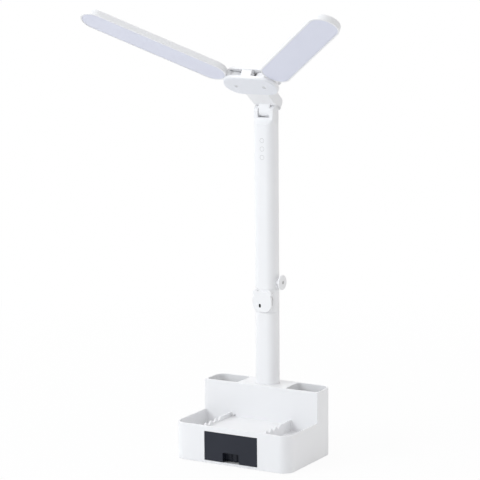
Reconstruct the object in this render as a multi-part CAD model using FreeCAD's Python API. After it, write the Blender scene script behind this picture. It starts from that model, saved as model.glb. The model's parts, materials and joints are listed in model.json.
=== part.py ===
import FreeCAD, Part
import math
import os

os.makedirs("parts", exist_ok=True)

# All sizes are millimetres. X runs left to right, Y front to back, Z up from the table.
# The origin is the centre of the base's footprint, on the table.

# Organizer base
base_width = 180.0
base_depth = 126.0
tray_height = 51.7
block_height = 94.8
block_depth = 43.4
corner_radius = 16.0
block_front_radius = 1.5
wall = 2.5
rim_round = 0.8
inner_rim_round = 0.6
rim_flare = 1.0
base_round = 1.0
floor_round = 1.0
foot_stand = 1.0
overrun = 1.0
flush = 0.001

# Phone platform and its notched rails, in the middle of the tray
platform_drop = 6.5
rail_spacing = 92.0
rail_thickness = 2.5
notch_pitch = 13.0
notch_depth = 5.0
notch_count = 4
notch_valley_share = 0.44
tooth_land = 1.6

# Side compartments of the tray
left_floor_height = 25.0
right_floor_height = 36.0
compartment_radius = 3.0

# Pen pockets and the deck between them
deck_width = 76.0
pocket_floor_height = 24.0
pocket_radius = 6.0

# Small opening in the block's front face, over the platform
peep_radius = 1.4
peep_side = 41.0
peep_height = 47.6

# Drawer
drawer_opening_width = 83.0
drawer_opening_height = 40.9
drawer_sill = 3.5
drawer_gap = 0.5
drawer_running_gap = 0.3
drawer_length = 75.0
drawer_wall = 2.0
drawer_box_height = 34.0
drawer_corner_radius = 2.5
front_plate_thickness = 2.2
front_plate_inset = 0.2
front_edge_radius = 0.5
notch_width = 25.5
notch_height = 13.1
notch_radius = 2.0
cup_depth = 9.0
cup_wall = 1.5
cup_rib_spacing = 8.0
cup_rib_depth = 1.5
front_screw_spacing = 62.0
front_screw_height = 26.0

# Drawer runners
runner_ledge = 2.6
runner_web = 2.2
runner_height = 24.0
runner_stop = 2.4
runner_tab_length = 12.0
runner_tab_width = 8.0

# Bottom cover, feet and ballast
cover_thickness = 2.5
cover_fit = 0.15
cover_rib_height = 3.0
cover_rib_thickness = 1.5
cover_rib_inset = 8.0
foot_radius = 7.0
foot_seat_depth = 1.0
foot_edge = 0.6
foot_inset = 16.0
cover_screw_radius = 1.5
cover_screw_head_radius = 2.9
cover_screw_head_height = 1.3
cover_screw_length = 10.0
cover_boss_radius = 3.6
cover_boss_front_x = 57.0
cover_boss_back_x = 64.0
cover_boss_spacing = 12.0
ballast_width = 110.0
ballast_depth = 33.0
ballast_thickness = 5.0
ballast_radius = 5.0

# Battery, control board and charging inlet, in the block under the deck
cell_radius = 9.15
cell_length = 65.0
cell_gap = 0.2
cell_cap_radius = 2.6
cell_cap_height = 1.0
holder_wall = 1.6
holder_floor = 1.5
holder_height = 22.5
board_thickness = 1.6
board_width = 56.0
board_depth = 34.0
chip_size = 8.0
chip_height = 1.4
coil_radius = 4.0
coil_height = 5.0
inlet_width = 9.0
inlet_height = 3.3
inlet_depth = 7.4
inlet_wall = 0.35
inlet_tongue_width = 6.6
inlet_tongue_height = 0.7
inlet_recess = 0.6
inlet_hole_margin = 0.4

# Pole
pole_width = 34.0
pole_depth = 25.0
pole_corner_radius = 12.0
pole_wall = 2.2
pole_fit = 0.12
lower_pole_length = 101.2
collar_height = 33.0
upper_pole_length = 227.0
seam_chamfer = 0.5
joiner_overlap = 24.0
joiner_wall = 2.0
socket_clearance = 12.7
socket_wall = 2.6
socket_floor = 3.0
socket_flange_width = 62.0
socket_flange_depth = 33.0
socket_flange_thickness = 3.0
socket_flange_radius = 5.0
socket_boss_height = 6.0
socket_boss_radius = 3.6
socket_screw_x = 25.5
socket_screw_y = 11.0
socket_screw_radius = 1.5
socket_screw_head_radius = 2.9
socket_screw_head_height = 2.0
socket_screw_length = 8.0

# Front hook pad on the collar
pad_width = 30.0
pad_height = 31.0
pad_thickness = 3.4
pad_corner_radius = 11.0
pad_lobe_radius = 4.4
pad_edge_round = 1.0
keyhole_radius = 1.6
keyhole_length = 2.6
keyhole_drop = 6.5
keyhole_side = 3.0
keyhole_depth = 2.0

# Side hook knob on the upper pole
knob_radius = 10.5
knob_rise = 9.1
knob_head = 3.2
knob_stem_radius = 4.5
knob_reach = 8.1
knob_edge_round = 1.2
knob_screw_radius = 1.5
knob_screw_head_radius = 2.6
knob_screw_head_height = 1.6
knob_screw_length = 12.0

# Touch board behind the upper pole's front
touch_drop = 33.0
touch_board_width = 15.0
touch_board_height = 34.0
touch_pad_radius = 4.6
touch_pad_thickness = 0.3
touch_pad_spacing = 11.5

# Tilt hinge on the pole's top
hinge_rise = 17.1
fork_width = 30.1
fork_depth = 17.0
fork_corner_radius = 1.5
fork_blend_height = 8.0
fork_slot_drop = 7.5
fork_spigot = 14.0
knuckle_radius = 7.0
knuckle_width = 17.2
knuckle_gap = 0.3
knuckle_reach = 13.0
pin_radius = 2.2
pin_head_radius = 4.0
pin_head_height = 1.2
pin_skin = 1.5
pin_running_gap = 0.05
bush_outer_radius = 3.6

# Lamp head: hub with two plates, turned about the hinge
head_tilt = 35.7
hub_reach = 56.6
hub_length = 81.5
hub_width = 42.5
hub_floor_height = 5.5
hub_plate_thickness = 4.3
hub_edge_round = 1.8
hub_top_round = 2.0
neck_width = 35.0
neck_overlap = 10.0
neck_slope_start = 33.0
neck_fillet = 3.5
neck_back = 6.1
neck_back_height = 22.2
neck_back_round = 6.0
neck_side_round = 1.6
neck_wall = 3.0
neck_relief_gap = 0.6
spacer_width = 15.8
spacer_depth = 9.2
spacer_inset = 0.6
spacer_edge_round = 0.8
hub_screw_radius = 1.5
hub_screw_head_radius = 2.8
hub_screw_head_height = 1.6
hub_screw_front = 16.0
hub_screw_back = 15.0

# Wings
wing_pivot_spacing = 43.0
wing_spread = 44.1
wing_length = 210.9
wing_width = 41.3
wing_thickness = 9.2
wing_root_gap = 18.0
wing_clearance = 0.3
wing_roof = 1.8
wing_top_round = 2.2
wing_face_round = 0.5
bezel = 2.0
diffuser_thickness = 2.0
diffuser_inset = 0.3
diffuser_fit = 0.1
diffuser_ledge = 1.3
tongue_radius = 16.0
tongue_width = 18.0
tongue_gap = 0.8
tongue_rim = 2.0
tongue_hub_radius = 7.5
tongue_floor = 2.0
tongue_run_in = 6.0
washer_thickness = 0.8
washer_radius = 7.0
pivot_radius = 2.0
pivot_head_radius = 2.9
pivot_head_height = 1.6
pivot_top_depth = 2.6
pivot_drive_radius = 1.0
pivot_drive_depth = 0.5
wing_bush_radius = 5.0
led_board_margin = 12.0
led_board_width = 24.0
led_board_thickness = 1.2
led_size = 3.0
led_height = 0.8
led_pitch = 12.5
led_row_spacing = 13.0

# Places worked out from the sizes above
front_y = -base_depth / 2
back_y = base_depth / 2
block_front_y = back_y - block_depth
tray_top = foot_stand + tray_height
block_top = foot_stand + block_height
deck_under = block_top - wall
platform_top = tray_top - platform_drop
platform_under = platform_top - wall
cover_top = foot_stand + cover_thickness
sill_top = foot_stand + drawer_sill
opening_top = sill_top + drawer_opening_height
pocket_floor = foot_stand + pocket_floor_height
rail_inner = rail_spacing / 2
rail_outer = rail_inner + rail_thickness
pole_y = block_front_y + block_depth / 2
collar_bottom = block_top + lower_pole_length
collar_top = collar_bottom + collar_height
pole_top = collar_top + upper_pole_length
hinge_z = pole_top + hinge_rise
pole_front_y = pole_y - pole_depth / 2
hub_floor = hub_floor_height
hub_floor_top = hub_floor + hub_plate_thickness
hub_roof = hub_floor_top + wing_thickness + 2 * wing_clearance
hub_top = hub_roof + hub_plate_thickness
neck_front = hub_reach - hub_width / 2 + neck_overlap
neck_relief = fork_depth / 2 + neck_relief_gap
wing_face = hub_floor_top + wing_clearance
holder_bottom = cover_top + ballast_thickness
board_bottom = holder_bottom + holder_height
board_top = board_bottom + board_thickness
inlet_centre_z = board_top + inlet_height / 2
socket_bottom = board_top + coil_height + socket_clearance + socket_floor
foot_x = base_width / 2 - foot_inset
foot_y = base_depth / 2 - foot_inset
cover_boss_y = foot_y - cover_boss_spacing

cover_screw_places = [
    (-cover_boss_front_x, -cover_boss_y, foot_stand + left_floor_height - wall),
    (cover_boss_front_x, -cover_boss_y, foot_stand + right_floor_height - wall),
    (-cover_boss_back_x, cover_boss_y, pocket_floor - wall),
    (cover_boss_back_x, cover_boss_y, pocket_floor - wall),
]
foot_places = [
    (-foot_x, -foot_y),
    (foot_x, -foot_y),
    (-foot_x, foot_y),
    (foot_x, foot_y),
]
socket_screw_places = [
    (side * socket_screw_x, pole_y + end * socket_screw_y)
    for side in (-1, 1)
    for end in (-1, 1)
]


def vec(x, y, z):
    return FreeCAD.Vector(x, y, z)


UP = vec(0, 0, 1)
ACROSS = vec(1, 0, 0)
BACKWARD = vec(0, 1, 0)


def box(x0, x1, y0, y1, z0, z1):
    return Part.makeBox(x1 - x0, y1 - y0, z1 - z0, vec(x0, y0, z0))


def rod(radius, start, length, direction):
    return Part.makeCylinder(radius, length, start, direction)


def tube(outer, inner, start, length, direction):
    return rod(outer, start, length, direction).cut(rod(inner, start, length, direction))


def union(shapes):
    first = shapes[0]
    if len(shapes) == 1:
        return first
    return first.fuse(shapes[1:]).removeSplitter()


def edge_ring(corners):
    """Closed wire in the XY plane through (x, y, radius) corners, each turned on its radius."""
    edges = []
    spots = [vec(x, y, 0) for x, y, _ in corners]
    turns = []
    for i, (_, _, radius) in enumerate(corners):
        here = spots[i]
        before = (spots[i - 1] - here).normalize()
        after = (spots[(i + 1) % len(spots)] - here).normalize()
        if radius == 0:
            turns.append((here, None, here))
            continue
        half = before.getAngle(after) / 2
        inward = (before + after).normalize()
        reach = radius / math.tan(half)
        middle = here + inward * (radius / math.sin(half) - radius)
        turns.append((here + before * reach, middle, here + after * reach))
    last = turns[-1][2]
    for start, middle, end in turns:
        if (start - last).Length > flush:
            edges.append(Part.LineSegment(last, start).toShape())
        if middle is not None:
            edges.append(Part.Arc(start, middle, end).toShape())
        last = end
    return Part.Wire(edges)


def lifted(shape, z):
    moved = shape.copy()
    moved.translate(vec(0, 0, z))
    return moved


def prism(corners, z0, z1):
    face = Part.Face(lifted(edge_ring(corners), z0))
    return face.extrude(vec(0, 0, z1 - z0))


def plan_box(x0, x1, y0, y1, z0, z1, radii):
    """Upright box with rounded plan corners: front left, front right, back right, back left."""
    spots = [(x0, y0), (x1, y0), (x1, y1), (x0, y1)]
    corners = [(x, y, radius) for (x, y), radius in zip(spots, radii)]
    return prism(corners, z0, z1)


def obround(length, width, x, y, z0, z1):
    radius = width / 2
    return plan_box(x - length / 2, x + length / 2, y - radius, y + radius, z0, z1, [radius] * 4)


def side_profile(face, half_width):
    """Extrudes a face drawn as (Y, Z) in the XY plane to both sides of the YZ plane."""
    turned = face.copy()
    turned.rotate(vec(0, 0, 0), vec(1, 1, 1), 120)
    turned.translate(vec(-half_width, 0, 0))
    return turned.extrude(vec(2 * half_width, 0, 0))


def front_profile(corners, y0, y1):
    """Extrudes corners given as (X, Z, radius) from y0 back to y1."""
    face = Part.Face(edge_ring(corners))
    face.rotate(vec(0, 0, 0), ACROSS, 90)
    face.translate(vec(0, y0, 0))
    return face.extrude(vec(0, y1 - y0, 0))


def level_edges(shape, z):
    found = []
    for edge in shape.Edges:
        bounds = edge.BoundBox
        if abs(bounds.ZMin - z) < flush and abs(bounds.ZMax - z) < flush:
            found.append(edge)
    return found


def facing_edges(shape, y):
    found = []
    for edge in shape.Edges:
        bounds = edge.BoundBox
        if abs(bounds.YMin - y) < flush and abs(bounds.YMax - y) < flush:
            found.append(edge)
    return found


def rounded_at(shape, z, radius):
    return shape.makeFillet(radius, level_edges(shape, z))


def tubs():
    """The hollows that open upward: x0, x1, y0, y1, floor, top and plan radii of each."""
    left = -base_width / 2 + wall
    right = base_width / 2 - wall
    inner_front = front_y + wall
    inner_back = back_y - wall
    outer_turn = corner_radius - wall
    small = compartment_radius
    deck = deck_width / 2
    pocket = pocket_radius
    return [
        (left, -rail_outer, inner_front, block_front_y, foot_stand + left_floor_height,
         tray_top, [outer_turn, small, small, small]),
        (rail_outer, right, inner_front, block_front_y, foot_stand + right_floor_height,
         tray_top, [small, outer_turn, small, small]),
        (left, -deck, block_front_y + wall, inner_back, pocket_floor,
         block_top, [pocket, pocket, pocket, outer_turn]),
        (deck, right, block_front_y + wall, inner_back, pocket_floor,
         block_top, [pocket, pocket, outer_turn, pocket]),
    ]


def rail_notches():
    """Saw-tooth cutter across both rails, from the tray's front wall backwards."""
    start = front_y + wall
    cutters = []
    for i in range(notch_count):
        front = start + i * notch_pitch
        valley = front + notch_pitch * notch_valley_share
        back = front + notch_pitch - tooth_land
        corners = [
            (front, tray_top + overrun, 0),
            (front, tray_top, 0),
            (valley, tray_top - notch_depth, rim_round),
            (back, tray_top, 0),
            (back, tray_top + overrun, 0),
        ]
        cutters.append(side_profile(Part.Face(edge_ring(corners)), rail_outer))
    return union(cutters)


def lipped(x0, x1, y0, y1, floor, top, radii):
    """Cutter of an open hollow, with rounded floor edges and a rim that flares out on a radius."""
    hollow = rounded_at(plan_box(x0, x1, y0, y1, floor, top, radii), floor, floor_round)
    mouth = plan_box(x0 - rim_flare, x1 + rim_flare, y0 - rim_flare, y1 + rim_flare,
                     top, top + overrun, [radius + rim_flare for radius in radii])
    cutter = hollow.fuse(mouth)
    rim = [edge for edge in level_edges(cutter, top)
           if edge.BoundBox.XMin > x0 - flush and edge.BoundBox.XMax < x1 + flush
           and edge.BoundBox.YMin > y0 - flush and edge.BoundBox.YMax < y1 + flush]
    return cutter.makeFillet(inner_rim_round, rim)


def organizer_shell():
    """One moulding: tray with compartments and phone platform, and the block with the pen pockets."""
    left = -base_width / 2
    right = base_width / 2
    inner_turn = corner_radius - wall
    tray = plan_box(left, right, front_y, back_y, foot_stand, tray_top, [corner_radius] * 4)
    tray = rounded_at(rounded_at(tray, tray_top, rim_round), foot_stand, base_round)
    block = plan_box(left, right, block_front_y, back_y, platform_under, block_top,
                     [block_front_radius, block_front_radius, corner_radius, corner_radius])
    outer = union([tray, rounded_at(block, block_top, rim_round)])
    cavity = union([
        plan_box(left + wall, right - wall, front_y + wall, back_y - wall,
                 foot_stand, platform_under, [inner_turn] * 4),
        plan_box(left + wall, right - wall, block_front_y + wall, back_y - wall,
                 foot_stand, deck_under, [0, 0, inner_turn, inner_turn]),
    ])
    hollows = []
    for x0, x1, y0, y1, floor, top, radii in tubs():
        grown = [radius + wall for radius in radii]
        cavity = cavity.cut(plan_box(x0 - wall, x1 + wall, y0 - wall, y1 + wall,
                                     floor - wall, top, grown))
        hollow = lipped(x0, x1, y0, y1, floor, top, radii)
        if top < block_top:
            hollow = hollow.common(box(left, right, front_y, block_front_y, floor, top + overrun))
        hollows.append(hollow)
    platform = lipped(-rail_inner, rail_inner, front_y + wall, block_front_y,
                      platform_top, tray_top, [0] * 4)
    tray_room = box(left, right, front_y, block_front_y, platform_top, tray_top + overrun)
    hollows.append(platform.common(tray_room))
    hollows.append(rail_notches())
    hollows.append(box(-drawer_opening_width / 2, drawer_opening_width / 2,
                       front_y - overrun, front_y + wall, sill_top, opening_top))
    hollows.append(pole_prism(pole_fit, deck_under - overrun, block_top + overrun))
    hollows.append(rod(peep_radius, vec(-peep_side, block_front_y - overrun, foot_stand + peep_height),
                       wall + overrun, BACKWARD))
    hollows.append(inlet_prism(inlet_hole_margin, back_y - wall - overrun, back_y + overrun))
    bosses = [rod(cover_boss_radius, vec(x, y, cover_top), top + wall / 2 - cover_top, UP)
              for x, y, top in cover_screw_places]
    bosses += [rod(socket_boss_radius, vec(x, y, deck_under - socket_boss_height),
                   socket_boss_height + wall / 2, UP)
               for x, y in socket_screw_places]
    shell = union([outer.cut(cavity)] + bosses)
    pilots = [rod(cover_screw_radius, vec(x, y, cover_top - overrun), cover_screw_length + overrun, UP)
              for x, y, _ in cover_screw_places]
    pilots += [rod(socket_screw_radius, vec(x, y, deck_under - socket_boss_height - overrun),
                   socket_boss_height + overrun, UP)
               for x, y in socket_screw_places]
    return shell.cut(hollows + pilots)


def pole_ring(growth):
    """Plan outline of the pole's section, grown outwards by a length."""
    half_x = pole_width / 2 + growth
    half_y = pole_depth / 2 + growth
    turn = pole_corner_radius + growth
    return [
        (-half_x, pole_y - half_y, turn),
        (half_x, pole_y - half_y, turn),
        (half_x, pole_y + half_y, turn),
        (-half_x, pole_y + half_y, turn),
    ]


def pole_prism(growth, z0, z1):
    return prism(pole_ring(growth), z0, z1)


def inlet_prism(growth, y0, y1):
    """Flat-oval prism of the charging inlet, along Y."""
    half_x = inlet_width / 2 + growth
    half_z = inlet_height / 2 + growth
    corners = [
        (-half_x, inlet_centre_z - half_z, half_z),
        (half_x, inlet_centre_z - half_z, half_z),
        (half_x, inlet_centre_z + half_z, half_z),
        (-half_x, inlet_centre_z + half_z, half_z),
    ]
    return front_profile(corners, y0, y1)


def bottom_cover():
    inset = wall + cover_fit
    left = -base_width / 2 + inset
    front = front_y + inset
    turn = corner_radius - inset
    plate = plan_box(left, -left, front, -front, foot_stand, cover_top, [turn] * 4)
    rib_x = base_width / 2 - cover_rib_inset
    rib_half = cover_boss_y - 2 * cover_boss_radius
    ribs = [
        box(side * rib_x - cover_rib_thickness / 2, side * rib_x + cover_rib_thickness / 2,
            -rib_half, rib_half,
            cover_top, cover_top + cover_rib_height)
        for side in (-1, 1)
    ]
    cutters = [rod(foot_radius, vec(x, y, foot_stand - overrun), foot_seat_depth + overrun, UP)
               for x, y in foot_places]
    for x, y, _ in cover_screw_places:
        cutters.append(rod(cover_screw_radius, vec(x, y, foot_stand), cover_thickness, UP))
        cutters.append(rod(cover_screw_head_radius, vec(x, y, foot_stand - overrun),
                           cover_screw_head_height + overrun, UP))
    return union([plate] + ribs).cut(cutters)


def rubber_feet():
    feet = []
    for x, y in foot_places:
        foot = rod(foot_radius, vec(x, y, 0), foot_stand + foot_seat_depth, UP)
        feet.append(foot.makeChamfer(foot_edge, level_edges(foot, 0)))
    return Part.makeCompound(feet)


def screw(x, y, z, head_radius, head_height, radius, length):
    """Screw that points up, with the underside of its head's rim at z + head_height."""
    head = rod(head_radius, vec(x, y, z), head_height, UP)
    shaft = rod(radius, vec(x, y, z + head_height), length - head_height, UP)
    return union([head, shaft])


def cover_screws():
    return Part.makeCompound([
        screw(x, y, foot_stand, cover_screw_head_radius, cover_screw_head_height,
              cover_screw_radius, cover_screw_length)
        for x, y, _ in cover_screw_places
    ])


def ballast_plate():
    half = ballast_width / 2
    y0 = pole_y - ballast_depth / 2
    y1 = pole_y + ballast_depth / 2
    return plan_box(-half, half, y0, y1, cover_top, cover_top + ballast_thickness,
                    [ballast_radius] * 4)


def runner(side):
    """Drawer runner: ledge under the drawer, guide web beside it, stop behind it."""
    web_inner = drawer_half_width() + drawer_running_gap
    web_outer = web_inner + runner_web
    ledge_top = drawer_bottom() - drawer_running_gap
    y0 = front_y + wall + cover_fit
    y1 = drawer_back() + drawer_running_gap
    top = cover_top + runner_height
    section = [
        (web_outer, cover_top, 0),
        (web_outer, top, 0),
        (web_inner, top, 0),
        (web_inner, ledge_top, 0),
        (web_inner - runner_ledge, ledge_top, 0),
        (web_inner - runner_ledge, cover_top, 0),
    ]
    rail = front_profile(section, y0, y1)
    stop = box(web_inner - runner_ledge, web_outer, y1, y1 + runner_stop, cover_top, top)
    tabs = [
        box(web_outer, web_outer + runner_tab_width, y, y + runner_tab_length,
            cover_top, ledge_top)
        for y in (y0 + runner_tab_length, y1 - 2 * runner_tab_length)
    ]
    right = union([rail, stop] + tabs)
    if side > 0:
        return right
    return right.mirror(vec(0, 0, 0), ACROSS)


def drawer_half_width():
    return drawer_opening_width / 2 - drawer_gap


def drawer_bottom():
    return sill_top + drawer_gap


def drawer_front_y():
    return front_y + front_plate_inset + front_plate_thickness


def drawer_back():
    return drawer_front_y() + drawer_length


def cup_half_width():
    return notch_width / 2 + cup_wall


def drawer_box():
    half = drawer_half_width()
    y0 = drawer_front_y()
    y1 = drawer_back()
    bottom = drawer_bottom()
    top = bottom + drawer_box_height
    turn = drawer_corner_radius
    inner = turn - drawer_wall
    outer = plan_box(-half, half, y0, y1, bottom, top, [0, 0, turn, turn])
    hollow = plan_box(-half + drawer_wall, half - drawer_wall, y0 + drawer_wall, y1 - drawer_wall,
                      bottom + drawer_wall, top + overrun, [inner] * 4)
    cup = box(-cup_half_width(), cup_half_width(), y0 - overrun, y0 + cup_depth,
              bottom - overrun, bottom + notch_height + cup_wall)
    holes = [rod(cover_screw_radius, vec(x, y0 - overrun, front_screw_z()),
                 drawer_wall + 2 * overrun, BACKWARD)
             for x in (-front_screw_spacing / 2, front_screw_spacing / 2)]
    return outer.cut([hollow, cup] + holes)


def front_screw_z():
    return drawer_bottom() + front_screw_height


def drawer_front():
    half = drawer_half_width()
    y0 = front_y + front_plate_inset
    y1 = drawer_front_y()
    bottom = drawer_bottom()
    top = opening_top - drawer_gap
    notch_half = notch_width / 2
    corners = [
        (-half, bottom, front_edge_radius),
        (-notch_half, bottom, 0),
        (-notch_half, bottom + notch_height, notch_radius),
        (notch_half, bottom + notch_height, notch_radius),
        (notch_half, bottom, 0),
        (half, bottom, front_edge_radius),
        (half, top, front_edge_radius),
        (-half, top, front_edge_radius),
    ]
    plate = front_profile(corners, y0, y1)
    cup_outer = box(-cup_half_width(), cup_half_width(), y1, y1 + cup_depth,
                    bottom, bottom + notch_height + cup_wall)
    cup_hollow = box(-notch_half, notch_half, y1, y1 + cup_depth - cup_wall,
                     bottom - overrun, bottom + notch_height)
    ribs = [
        box(x - cup_wall / 2, x + cup_wall / 2, y1 + cup_depth - cup_wall - cup_rib_depth,
            y1 + cup_depth - cup_wall, bottom, bottom + notch_height)
        for x in (-cup_rib_spacing / 2, cup_rib_spacing / 2)
    ]
    pilots = [rod(cover_screw_radius, vec(x, y1 - front_plate_thickness / 2, front_screw_z()),
                  front_plate_thickness, BACKWARD)
              for x in (-front_screw_spacing / 2, front_screw_spacing / 2)]
    return union([plate, cup_outer.cut(cup_hollow)] + ribs).cut(pilots)


def drawer_screws():
    screws = []
    y = drawer_front_y() + drawer_wall
    for x in (-front_screw_spacing / 2, front_screw_spacing / 2):
        head = rod(cover_screw_head_radius, vec(x, y, front_screw_z()),
                   cover_screw_head_height, BACKWARD)
        reach = drawer_wall + front_plate_thickness / 2
        shaft = rod(cover_screw_radius, vec(x, y - reach, front_screw_z()), reach, BACKWARD)
        screws.append(union([head, shaft]))
    return Part.makeCompound(screws)


def cell_places():
    offset = cell_radius + cell_gap / 2
    return [pole_y - offset, pole_y + offset]


def battery_holder():
    half_x = cell_length / 2 + cell_cap_height + holder_wall
    half_y = 2 * cell_radius + cell_gap / 2
    outer = box(-half_x, half_x, pole_y - half_y, pole_y + half_y, holder_bottom, board_bottom)
    hollow = box(-half_x + holder_wall, half_x - holder_wall,
                 pole_y - half_y - overrun, pole_y + half_y + overrun,
                 holder_bottom + holder_floor, board_bottom + overrun)
    return outer.cut(hollow)


def battery_cells():
    cells = []
    z = holder_bottom + holder_floor + cell_radius
    for y in cell_places():
        body = rod(cell_radius, vec(-cell_length / 2, y, z), cell_length, ACROSS)
        cap = rod(cell_cap_radius, vec(cell_length / 2, y, z), cell_cap_height, ACROSS)
        cells.append(union([body, cap]))
    return Part.makeCompound(cells)


def board_back_y():
    return back_y - wall - cover_fit


def control_board():
    y1 = board_back_y()
    y0 = y1 - board_depth
    half_x = cell_length / 2 + cell_cap_height + holder_wall
    board = box(-half_x, half_x, y0, y1, board_bottom, board_top)
    chip_x = board_width / 4
    chip = box(-chip_x - chip_size / 2, -chip_x + chip_size / 2, pole_y - chip_size / 2,
               pole_y + chip_size / 2, board_top, board_top + chip_height)
    coil = rod(coil_radius, vec(chip_x, pole_y, board_top), coil_height, UP)
    return union([board, chip, coil])


def charging_port():
    y1 = back_y - inlet_recess
    y0 = y1 - inlet_depth
    can = inlet_prism(0, y0, y1)
    hollow = inlet_prism(-inlet_wall, y0 + inlet_wall, y1 + overrun)
    tongue = box(-inlet_tongue_width / 2, inlet_tongue_width / 2, y0 + inlet_wall, y1 - inlet_recess,
                 inlet_centre_z - inlet_tongue_height / 2, inlet_centre_z + inlet_tongue_height / 2)
    return union([can.cut(hollow), tongue])


def pole_socket():
    sleeve = pole_prism(pole_fit + socket_wall, socket_bottom - socket_floor, deck_under)
    flange_top = deck_under - socket_boss_height
    half_x = socket_flange_width / 2
    half_y = socket_flange_depth / 2
    flange = plan_box(-half_x, half_x, pole_y - half_y, pole_y + half_y,
                      flange_top - socket_flange_thickness, flange_top, [socket_flange_radius] * 4)
    bore = pole_prism(pole_fit, socket_bottom, deck_under + overrun)
    holes = [rod(socket_screw_radius, vec(x, y, flange_top - socket_flange_thickness - overrun),
                 socket_flange_thickness + 2 * overrun, UP)
             for x, y in socket_screw_places]
    return union([sleeve, flange]).cut([bore] + holes)


def socket_screws():
    under = deck_under - socket_boss_height - socket_flange_thickness
    return Part.makeCompound([
        screw(x, y, under - socket_screw_head_height, socket_screw_head_radius,
              socket_screw_head_height, socket_screw_radius,
              socket_screw_head_height + socket_screw_length)
        for x, y in socket_screw_places
    ])


def pole_tube(z0, z1):
    return pole_prism(0, z0, z1).cut(pole_prism(-pole_wall, z0 - overrun, z1 + overrun))


def lower_pole():
    return pole_tube(socket_bottom, collar_bottom)


def pole_collar():
    ring = pole_prism(0, collar_bottom, collar_top)
    ends = level_edges(ring, collar_bottom) + level_edges(ring, collar_top)
    ring = ring.makeChamfer(seam_chamfer, ends)
    return ring.cut(pole_prism(-pole_wall, collar_bottom - overrun, collar_top + overrun))


def upper_pole():
    return pole_tube(collar_top, pole_top).cut(
        rod(knob_screw_radius, vec(0, pole_y, knob_z()), pole_width, ACROSS))


def pole_joiner():
    outer = pole_prism(-pole_wall - pole_fit, collar_bottom - joiner_overlap, collar_top + joiner_overlap)
    growth = -pole_wall - pole_fit - joiner_wall
    bore = pole_prism(growth, collar_bottom - joiner_overlap - overrun,
                      collar_top + joiner_overlap + overrun)
    screw_hole = rod(knob_screw_radius, vec(0, pole_y, knob_z()), pole_width, ACROSS)
    return outer.cut([bore, screw_hole])


def front_hook():
    """Low rounded pad with two small lobes at its upper corners and a keyhole in its face."""
    half = pad_width / 2
    middle = (collar_bottom + collar_top) / 2
    bottom = middle - pad_height / 2
    top = middle + pad_height / 2 - pad_lobe_radius / 2
    corners = [
        (-half, bottom, pad_corner_radius),
        (half, bottom, pad_corner_radius),
        (half, top, pad_corner_radius),
        (-half, top, pad_corner_radius),
    ]
    back = pole_front_y + pad_edge_round
    front = pole_front_y - pad_thickness
    lobe_x = half - pad_lobe_radius
    lobe_z = middle + pad_height / 2 - pad_lobe_radius
    pieces = [front_profile(corners, front, back)]
    pieces += [rod(pad_lobe_radius, vec(side * lobe_x, front, lobe_z), back - front, BACKWARD)
               for side in (-1, 1)]
    pad = union([piece.makeFillet(pad_edge_round, facing_edges(piece, front)) for piece in pieces])
    pad = pad.cut(pole_prism(0, bottom - overrun, middle + pad_height))
    keyhole_z = middle - keyhole_drop
    keyhole = front_profile([
        (-keyhole_side - keyhole_radius, keyhole_z - keyhole_length, keyhole_radius),
        (-keyhole_side + keyhole_radius, keyhole_z - keyhole_length, keyhole_radius),
        (-keyhole_side + keyhole_radius, keyhole_z + keyhole_length, keyhole_radius),
        (-keyhole_side - keyhole_radius, keyhole_z + keyhole_length, keyhole_radius),
    ], front - overrun, front + keyhole_depth)
    return pad.cut(keyhole)


def knob_z():
    return collar_top + knob_rise


def side_hook():
    """Round hook knob: a broad head on a short stem that seats on the pole's side."""
    seat = pole_width / 2
    stem = rod(knob_stem_radius, vec(seat - pad_edge_round, pole_y, knob_z()),
               knob_reach - knob_head + pad_edge_round + knob_head / 2, ACROSS)
    head = rod(knob_radius, vec(seat + knob_reach - knob_head, pole_y, knob_z()), knob_head, ACROSS)
    outer_x = seat + knob_reach
    rims = [edge for edge in head.Edges
            if abs(edge.BoundBox.XMin - edge.BoundBox.XMax) < flush]
    head = head.makeFillet(knob_edge_round, rims)
    knob = union([stem, head]).cut(pole_prism(0, knob_z() - knob_radius, knob_z() + knob_radius))
    recess = rod(knob_screw_head_radius, vec(outer_x - knob_head / 2, pole_y, knob_z()), knob_head, ACROSS)
    bore = rod(knob_screw_radius, vec(0, pole_y, knob_z()), outer_x, ACROSS)
    return knob.cut([recess, bore])


def side_hook_screw():
    outer_x = pole_width / 2 + knob_reach
    seat_x = outer_x - knob_head / 2
    head = rod(knob_screw_head_radius, vec(seat_x, pole_y, knob_z()), knob_screw_head_height, ACROSS)
    shaft = rod(knob_screw_radius, vec(seat_x - knob_screw_length, pole_y, knob_z()),
                knob_screw_length, ACROSS)
    return union([head, shaft])


def touch_board():
    """Circuit board behind the pole's front wall, with round sensor pads that face the wall."""
    inner_turn = pole_corner_radius - pole_wall
    flat_half = pole_width / 2 - pole_corner_radius
    past_flat = touch_board_width / 2 - flat_half
    sag = inner_turn - math.sqrt(inner_turn ** 2 - max(past_flat, 0) ** 2)
    y0 = pole_front_y + pole_wall + sag + touch_pad_thickness
    middle = pole_top - touch_drop
    half_x = touch_board_width / 2
    board = box(-half_x, half_x, y0, y0 + board_thickness,
                middle - touch_board_height / 2, middle + touch_board_height / 2)
    pads = [rod(touch_pad_radius, vec(0, y0 - touch_pad_thickness, middle + step * touch_pad_spacing),
                touch_pad_thickness, BACKWARD)
            for step in (-1, 0, 1)]
    return union([board] + pads)


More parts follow.
